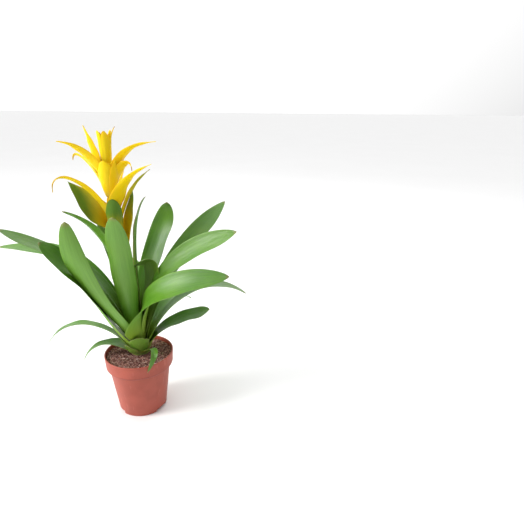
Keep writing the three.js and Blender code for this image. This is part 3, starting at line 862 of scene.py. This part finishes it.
# As for the leaves, and foot and root are the height and the distance from the axis where a bract starts.
# Look is how green the end is, how far the green slants to one side, and how brown the tip is.
BRACT_HABIT = {
    "sway": (0, 0), "roll": (0, 0), "width": 24, "waist": 0.95, "open": (9, 26), "channel": 35,
    "point": 1.5, "wide": 0.3, "blunt": 1, "sheath": 1, "flare": 0.11, "wrap": 85, "root": 5.6,
    "ripple": 0.35, "look": (0, 0, 0),
}
BRACTS = {
    "top_left": dict(bearing=192, foot=238, root=10, rise=(12, 256), crown=(16, 274), tip=(22, 291),
                     roll=(35, 35), width=18, point=1.2, wide=0.2),
    "high_back": dict(bearing=112, foot=226, rise=(9, 244), crown=(18, 256), tip=(34, 260), width=17),
    "high_right": dict(bearing=-16, foot=224, rise=(10, 250), crown=(24, 272), tip=(65, 275),
                       roll=(-15, -30), width=20, point=1.1, wide=0.2),
    "high_left": dict(bearing=210, foot=222, rise=(12, 250), crown=(28, 272), tip=(52, 275), roll=(25, 40),
                      width=21, point=1.1, wide=0.2),
    "cup_inner": dict(bearing=300, foot=222, rise=(8, 234), crown=(9.5, 242), tip=(9.5, 250), width=16,
                      point=3, wide=0.7),
    "curl_right": dict(bearing=-15, foot=214, rise=(11, 248), crown=(32, 260), tip=(31, 241),
                       roll=(-20, -30), width=17, point=1.2, wide=0.2, look=(0, 0, 0.8)),
    "curl_left": dict(bearing=172, foot=212, rise=(14, 244), crown=(42, 270), tip=(43, 251), roll=(20, 20),
                      width=20, point=1, wide=0.2, look=(0, 0, 0.6)),
    "cup_front": dict(bearing=262, foot=210, rise=(11, 226), crown=(13, 240), tip=(11, 253), width=26,
                      point=2.6, wide=0.6),
    "cup_right": dict(bearing=320, foot=206, rise=(10, 226), crown=(15, 240), tip=(15, 253), width=13,
                      point=2.6, wide=0.5),
    "long_back": dict(bearing=75, foot=196, rise=(9, 212), crown=(18, 232), tip=(34, 240), width=18),
    "long_right": dict(bearing=-48, foot=184, rise=(10, 212), crown=(34, 240), tip=(91, 256), sway=(0, 6),
                       roll=(-5, -25), width=28, point=0.8, wide=0.15),
    "long_left": dict(bearing=212, foot=180, rise=(18, 226), crown=(66, 255), tip=(64, 220), roll=(12, 12),
                      width=25, point=1, wide=0.1, look=(0, 0, 0.5)),
    "mid_back": dict(bearing=100, foot=178, rise=(9, 198), crown=(20, 216), tip=(38, 228), width=20,
                     look=(0.3, 0, 0)),
    "mid_right": dict(bearing=10, foot=170, rise=(12, 200), crown=(26, 228), tip=(46, 241), roll=(-10, -30),
                      width=15, point=1.3, look=(0.5, 0, 0)),
    "mid_left": dict(bearing=196, foot=158, rise=(12, 186), crown=(30, 206), tip=(48, 229), roll=(-50, -50),
                     width=33, channel=40, point=1.6, wide=0.4, look=(0.95, 0.5, 0)),
    "low_back": dict(bearing=120, foot=148, rise=(9, 172), crown=(20, 192), tip=(34, 205), width=20,
                     look=(0.8, 0, 0)),
    "low_front": dict(bearing=279, foot=138, rise=(8, 165), crown=(15, 190), tip=(14, 209), width=21,
                      point=2.6, wide=0.6, blunt=0.6, look=(1, 0, 0)),
    "low_right": dict(bearing=10, foot=118, rise=(10, 150), crown=(15, 190), tip=(21, 215), roll=(25, 35),
                      width=20, point=2, wide=0.5, look=(1, 0, 0)),
}


def bract_finish():
    material, wire = new_finish("bract_yellow")
    across, along, side = blade_coordinates(wire)
    look = wire.node("ShaderNodeAttribute", {"attribute_name": "look"}, None, 1)
    place = wire.node("ShaderNodeTexCoord", output=3)
    height = place.part(2)
    flow = wire.node("ShaderNodeCombineXYZ", None, {"X": across * 7, "Y": along * 1.8, "Z": height * 9})
    veins = noise_value(flow, 2.6, 4, 0.6)
    fine = noise_value(wire.node("ShaderNodeCombineXYZ", None, {
        "X": across * 34, "Y": along * 1.5, "Z": height * 5,
    }), 1.0, 2)
    low = veins.mix(YELLOW_LOW, YELLOW_LOW_VEIN)
    top = veins.mix(YELLOW_TOP, YELLOW_TOP_VEIN)
    color = height.smooth(BLOOM_LOW * MILLIMETRE, BLOOM_TOP * MILLIMETRE).mix(low, top)
    # Painted shade: orange along every margin, standing in for the shade where the bracts overlap.
    edge = (across * across).smooth(0.45, 1.0)
    color = (edge * 0.5).mix(color, MARGIN_PAINTED_SHADE)
    foot = along.smooth(0.22, 0.0)
    color = (foot * 0.55).mix(color, BRACT_FOOT)
    outer = side.smooth(0.08, -0.08)
    reach = along + 0.25 * (veins - 0.5) + outer * 0.22 + look.part(1) * (0.4 + 0.6 * across)
    fading = reach.smooth(0.35, 0.80) * look.part(0)
    color = (fading * 0.8).mix(color, BRACT_FADING)
    green = reach.smooth(0.62, 1.00) * look.part(0)
    color = green.mix(color, BRACT_GREEN)
    brown = (along + 0.06 * (veins - 0.5)).smooth(0.86, 0.98) * look.part(2)
    color = brown.mix(color, BRACT_TIP_BROWN)
    close_finish(
        wire,
        {"Base Color": color, "Roughness": 0.36 + fine * 0.16},
        height=fine * 0.6 + veins * 0.4,
        depth=0.2,
        constants={"Subsurface Weight": 0.25, "Subsurface Scale": 0.0018,
                   "Subsurface Radius": (1.0, 0.7, 0.1), "Specular IOR Level": 0.2},
    )
    return material


bract_yellow = bract_finish()
bract_tree = blade_tree(bract_yellow)
for name, own in BRACTS.items():
    spec = {**BRACT_HABIT, **own}
    spec["foot"] = (spec["root"], own["foot"])
    spec["lean"] = stem_axis(own["foot"])[0]
    mesh = grown(name, bract_tree, blade_values(spec))
    new_piece(f"petal_{name}", mesh, bract_yellow, f"bract_{name}")

# Flower head
# The erect inner bracts stand as one tube at the top of the stalk, in two rings round the closed buds,
# with one thin dried tongue curling out on the right. They are grown together at the foot.

HEAD_LEAN = stem_axis(250)[0]
BUD_SIDES = 32
HEAD_RINGS = [
    dict(count=5, bearing=20, bow=4.6, mouth=6.2, top=283, width=7.5),
    dict(count=6, bearing=50, bow=6.1, mouth=8.4, top=285, width=9),
]


def joined(name, meshes):
    """Several meshes as one, their attributes kept."""
    tree, given = new_tree(name, {})
    bodies = [bpy.data.objects.new(f"{name}_{index}", mesh) for index, mesh in enumerate(meshes)]
    join = tree.nodes.new("GeometryNodeJoinGeometry")
    for body in bodies:
        bpy.context.scene.collection.objects.link(body)
        info = given["Geometry"].node("GeometryNodeObjectInfo", None, {"Object": body}, 4)
        tree.links.new(info.socket, join.inputs[0])
    close_tree(Wire(tree, join.outputs[0]), bract_yellow)
    mesh = grown(name, tree, {})
    for body in bodies:
        bpy.data.objects.remove(body)
    return mesh


def bud_core():
    """The closed buds in the middle of the head, as one turned body."""
    core = turned_mesh("bud_core", [
        (0, 232.3), (4, 232.3), (5.0, 236), (5.4, 240), (5.0, 252), (4.6, 262), (5.2, 272), (5.4, 276),
        (4.6, 279), (3.4, 281), (1.8, 281.8), (0, 282),
    ], BUD_SIDES)
    for vertex in core.vertices:
        vertex.co += Vector((HEAD_LEAN, 0, POT_HEIGHT)) * MILLIMETRE
    return core


def head_parts():
    """The meshes of the head: the buds, the erect bracts round them and the dried tongue."""
    yield bud_core()
    for ring in HEAD_RINGS:
        for index in range(ring["count"]):
            spec = {
                **BRACT_HABIT, "bearing": ring["bearing"] + 360 / ring["count"] * index, "foot": (4.4, 236),
                "rise": (ring["bow"], 250), "crown": (ring["bow"], 266),
                "tip": (ring["mouth"], ring["top"] + 0.8 * math.cos(2.3 * index)), "width": ring["width"],
                "point": 3, "wide": 0.7, "blunt": 0.5, "lean": HEAD_LEAN, "ripple": 0.15,
            }
            yield grown(f"inner_{ring['bearing']}_{index}", bract_tree, blade_values(spec))
    tongue = {
        **BRACT_HABIT, "bearing": 345, "foot": (5, 262), "rise": (7.5, 274), "crown": (9, 284),
        "tip": (15, 290), "width": 3, "waist": 1, "lean": HEAD_LEAN, "ripple": 0, "look": (0, 0, 0.8),
    }
    yield grown("tongue", bract_tree, blade_values(tongue))


new_piece("petal_tube", joined("petal_tube", list(head_parts())), bract_yellow, "flower_head")

# Studio
# A plain pale floor under soft light, with the camera where it stood for the picture: above the plant's
# front, a little to its right, looking down at it.

FLOOR_SIZE = 40.0
FLOOR_PALE = (0.90, 0.90, 0.90)
FLOOR_WHITE = (0.93, 0.93, 0.93)
LIGHT_SIDE = (-0.5, 0.5, 0.7)
DIM_GLOW = 0.2
BRIGHT_GLOW = 1.15


def studio_floor():
    material, wire = new_finish("pale_floor")
    place = wire.node("ShaderNodeTexCoord", output=3)
    grain = noise_value(place, 3, 2)
    close_finish(wire, {"Base Color": grain.mix(FLOOR_PALE, FLOOR_WHITE), "Roughness": 0.7})
    half = FLOOR_SIZE / 2
    corners = [(-half, -half, 0), (half, -half, 0), (half, half, 0), (-half, half, 0)]
    mesh = bpy.data.meshes.new("floor")
    mesh.from_pydata(corners, [], [(0, 1, 2, 3)])
    mesh.materials.append(material)
    floor = bpy.data.objects.new("floor", mesh)
    bpy.context.scene.collection.objects.link(floor)


def soft_light(name, place, aim, size, power):
    lamp = bpy.data.lights.new(name, "AREA")
    lamp.shape = "DISK"
    lamp.size = size
    lamp.energy = power
    light = bpy.data.objects.new(name, lamp)
    light.location = place
    light.rotation_euler = (Vector(aim) - Vector(place)).to_track_quat("-Z", "Y").to_euler()
    bpy.context.scene.collection.objects.link(light)


def white_room():
    """Soft light all round, strongest from the left and from behind the plant."""
    world = bpy.data.worlds.new("white_room")
    world.use_nodes = True
    world.node_tree.nodes.clear()
    wire = Wire(world.node_tree)
    facing = wire.node("ShaderNodeTexCoord").vector_maths("DOT_PRODUCT", LIGHT_SIDE)
    strength = facing.smooth(-0.5, 0.6, DIM_GLOW, BRIGHT_GLOW)
    glow = wire.node("ShaderNodeBackground", None, {"Color": (1, 1, 1, 1), "Strength": strength})
    wire.node("ShaderNodeOutputWorld", None, {"Surface": glow}, None)
    bpy.context.scene.world = world


studio_floor()
soft_light("key", place=(-1.5, -0.5, 1.15), aim=(0, 0, 0.2), size=0.8, power=34)
soft_light("back", place=(0.3, 1.2, 1.3), aim=(0, 0, 0.25), size=1.0, power=5)
white_room()
bpy.context.scene.view_settings.view_transform = "Standard"

# The camera's place is in millimetres from the middle of the pot's foot, and its turns are in degrees.
CAMERA_PLACE = (164.8, -533.1, 399.2)
CAMERA_PITCH = 19.42
CAMERA_TILT = 0.58
FOCAL_PIXELS = 450
IMAGE_PIXELS = 524
SENSOR_WIDTH = 36

lens = bpy.data.cameras.new("camera")
lens.sensor_width = SENSOR_WIDTH
lens.lens = lens.sensor_width * FOCAL_PIXELS / IMAGE_PIXELS
lens.clip_start = 0.01
camera = bpy.data.objects.new("camera", lens)
bpy.context.scene.collection.objects.link(camera)
pitch, tilt = math.radians(CAMERA_PITCH), math.radians(CAMERA_TILT)
ahead = Vector((0, math.cos(pitch), -math.sin(pitch)))
overhead = Vector((0, math.sin(pitch), math.cos(pitch)))
right = Vector((math.cos(tilt), 0, 0)) + overhead * math.sin(tilt)
top = overhead * math.cos(tilt) - Vector((math.sin(tilt), 0, 0))
camera.matrix_world = Matrix.Translation(Vector(CAMERA_PLACE) * MILLIMETRE) @ Matrix(
    (right, top, -ahead)).transposed().to_4x4()
bpy.context.scene.camera = camera
